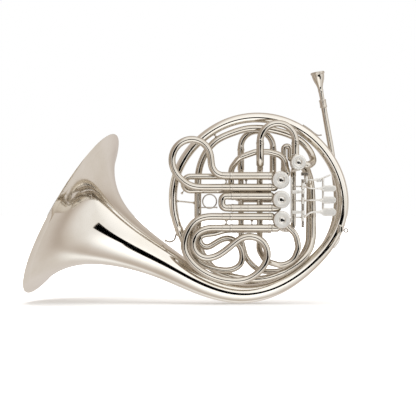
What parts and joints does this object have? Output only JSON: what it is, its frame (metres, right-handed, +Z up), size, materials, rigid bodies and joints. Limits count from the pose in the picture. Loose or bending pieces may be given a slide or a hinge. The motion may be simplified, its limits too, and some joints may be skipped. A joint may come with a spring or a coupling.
{
  "type": "french horn",
  "caption": "Double french horn with a wide flared bell, round body tubing, rotary valves, spatula levers, tuning slides and a mouthpiece.",
  "frame": {"origin": "centre of the body tube inside the player's left hand, on the right of the big loop", "axes": "+X from the bell towards the levers, +Y from the valve caps towards the back, +Z up"},
  "size_m": [0.5685, 0.3184, 0.4075],
  "materials": {
    "polished_nickel_silver": "polished nickel silver",
    "satin_nickel": "satin nickel plate",
    "plated_steel": "plated steel"
  },
  "bodies": {
    "horn": {"bell": "polished_nickel_silver", "bell_tail": "polished_nickel_silver", "inner_crook": "polished_nickel_silver", "leadpipe": "polished_nickel_silver", "upper_crook": "polished_nickel_silver", "arch_pipe": "polished_nickel_silver", "hoop_pipe": "polished_nickel_silver", "drop_pipe": "polished_nickel_silver", "first_sleeves": "polished_nickel_silver", "second_sleeves": "polished_nickel_silver", "third_sleeves": "polished_nickel_silver", "first_rear_sleeves": "polished_nickel_silver", "third_rear_sleeves": "polished_nickel_silver", "return_pipe": "polished_nickel_silver", "main_sleeve": "polished_nickel_silver", "rear_pipe": "polished_nickel_silver", "rear_main_sleeve": "polished_nickel_silver", "valve_1_casing": "polished_nickel_silver", "valve_2_casing": "polished_nickel_silver", "valve_3_casing": "polished_nickel_silver", "change_valve_casing": "polished_nickel_silver", "valve_1_cap": "satin_nickel", "valve_2_cap": "satin_nickel", "valve_3_cap": "satin_nickel", "change_valve_cap": "satin_nickel", "lever_bridge": "satin_nickel", "hinge_rod": "plated_steel", "thumb_bracket": "plated_steel", "hook_clamp": "polished_nickel_silver", "top_brace": "polished_nickel_silver", "left_brace": "polished_nickel_silver", "bell_brace": "plated_steel", "leadpipe_brace": "plated_steel"},
    "first_slide": {"first_slide": "polished_nickel_silver"},
    "second_slide": {"second_slide": "polished_nickel_silver"},
    "third_slide": {"third_slide": "polished_nickel_silver"},
    "first_rear_slide": {"first_rear_slide": "polished_nickel_silver"},
    "third_rear_slide": {"third_rear_slide": "polished_nickel_silver"},
    "main_slide": {"main_slide": "polished_nickel_silver"},
    "rear_main_slide": {"rear_main_slide": "polished_nickel_silver"},
    "mouthpiece": {"mouthpiece": "polished_nickel_silver"},
    "valve_1_rotor": {"valve_1_rotor": "plated_steel"},
    "valve_2_rotor": {"valve_2_rotor": "plated_steel"},
    "valve_3_rotor": {"valve_3_rotor": "plated_steel"},
    "change_valve_rotor": {"change_valve_rotor": "plated_steel"},
    "lever_1": {"lever_1": "satin_nickel"},
    "lever_2": {"lever_2": "satin_nickel"},
    "lever_3": {"lever_3": "satin_nickel"},
    "thumb_lever": {"thumb_lever": "satin_nickel"},
    "finger_hook": {"finger_hook": "satin_nickel"},
    "hook_screw": {"hook_screw": "plated_steel"},
    "pull_ring": {"pull_ring": "plated_steel"}
  },
  "joints": [
    {"name": "first_slide_travel", "type": "slide", "parent": "horn", "child": "first_slide", "axis": [-1, 0, 0], "range_m": [0, 0.035]},
    {"name": "second_slide_travel", "type": "slide", "parent": "horn", "child": "second_slide", "axis": [-1, 0, 0], "range_m": [0, 0.03]},
    {"name": "third_slide_travel", "type": "slide", "parent": "horn", "child": "third_slide", "axis": [-1, 0, 0], "range_m": [0, 0.03]},
    {"name": "first_rear_slide_travel", "type": "slide", "parent": "horn", "child": "first_rear_slide", "axis": [-1, 0, 0], "range_m": [0, 0.025]},
    {"name": "third_rear_slide_travel", "type": "slide", "parent": "horn", "child": "third_rear_slide", "axis": [-1, 0, 0], "range_m": [0, 0.012]},
    {"name": "main_slide_travel", "type": "slide", "parent": "horn", "child": "main_slide", "axis": [0, 0, 1], "range_m": [0, 0.015]},
    {"name": "rear_main_slide_travel", "type": "slide", "parent": "horn", "child": "rear_main_slide", "axis": [0, 0, 1], "range_m": [0, 0.012]},
    {"name": "mouthpiece_travel", "type": "slide", "parent": "horn", "child": "mouthpiece", "axis": [-0.1755, 0, 0.9845], "range_m": [0, 0.014]},
    {"name": "valve_1_turn", "type": "hinge", "parent": "horn", "child": "valve_1_rotor", "pos_m": [-0.1105, 0, 0.034], "axis": [0, 1, 0], "range_deg": [0, 90]},
    {"name": "valve_2_turn", "type": "hinge", "parent": "horn", "child": "valve_2_rotor", "pos_m": [-0.1095, 0, 0], "axis": [0, 1, 0], "range_deg": [0, 90]},
    {"name": "valve_3_turn", "type": "hinge", "parent": "horn", "child": "valve_3_rotor", "pos_m": [-0.1085, 0, -0.035], "axis": [0, 1, 0], "range_deg": [0, 90]},
    {"name": "change_valve_turn", "type": "hinge", "parent": "horn", "child": "change_valve_rotor", "pos_m": [-0.08, 0, 0.064], "axis": [0, 1, 0], "range_deg": [0, 90]},
    {"name": "lever_1_press", "type": "hinge", "parent": "horn", "child": "lever_1", "pos_m": [-0.0725, -0.048, 0.023], "axis": [0, 0, 1], "range_deg": [0, 12], "stiffness_Nm_per_rad": 0.25, "springref_deg": -11.46},
    {"name": "lever_2_press", "type": "hinge", "parent": "horn", "child": "lever_2", "pos_m": [-0.0725, -0.048, -0.002], "axis": [0, 0, 1], "range_deg": [0, 12], "stiffness_Nm_per_rad": 0.25, "springref_deg": -11.46},
    {"name": "lever_3_press", "type": "hinge", "parent": "horn", "child": "lever_3", "pos_m": [-0.0725, -0.048, -0.031], "axis": [0, 0, 1], "range_deg": [0, 12], "stiffness_Nm_per_rad": 0.25, "springref_deg": -11.46},
    {"name": "thumb_lever_press", "type": "hinge", "parent": "horn", "child": "thumb_lever", "pos_m": [-0.0655, -0.028, 0.0345], "axis": [0, 0, 1], "range_deg": [-10, 0], "stiffness_Nm_per_rad": 0.25, "springref_deg": 11.46},
    {"name": "finger_hook_adjust", "type": "slide", "parent": "horn", "child": "finger_hook", "axis": [0, 0, 1], "range_m": [-0.003, 0.004]},
    {"name": "hook_screw_turn", "type": "hinge", "parent": "horn", "child": "hook_screw", "pos_m": [-0.0009, -0.0144, -0.0535], "axis": [1, 0, 0], "range_deg": [0, 180]},
    {"name": "pull_ring_swing", "type": "hinge", "parent": "second_slide", "child": "pull_ring", "pos_m": [-0.2195, -0.039, -0.003], "axis": [0, 0, 1], "range_deg": [-50, 50]}
  ],
  "couplings": [
    {"joint": "lever_1_press", "follows": "valve_1_turn", "ratio": 0.13333},
    {"joint": "lever_2_press", "follows": "valve_2_turn", "ratio": 0.13333},
    {"joint": "lever_3_press", "follows": "valve_3_turn", "ratio": 0.13333},
    {"joint": "thumb_lever_press", "follows": "change_valve_turn", "ratio": -0.11111}
  ]
}
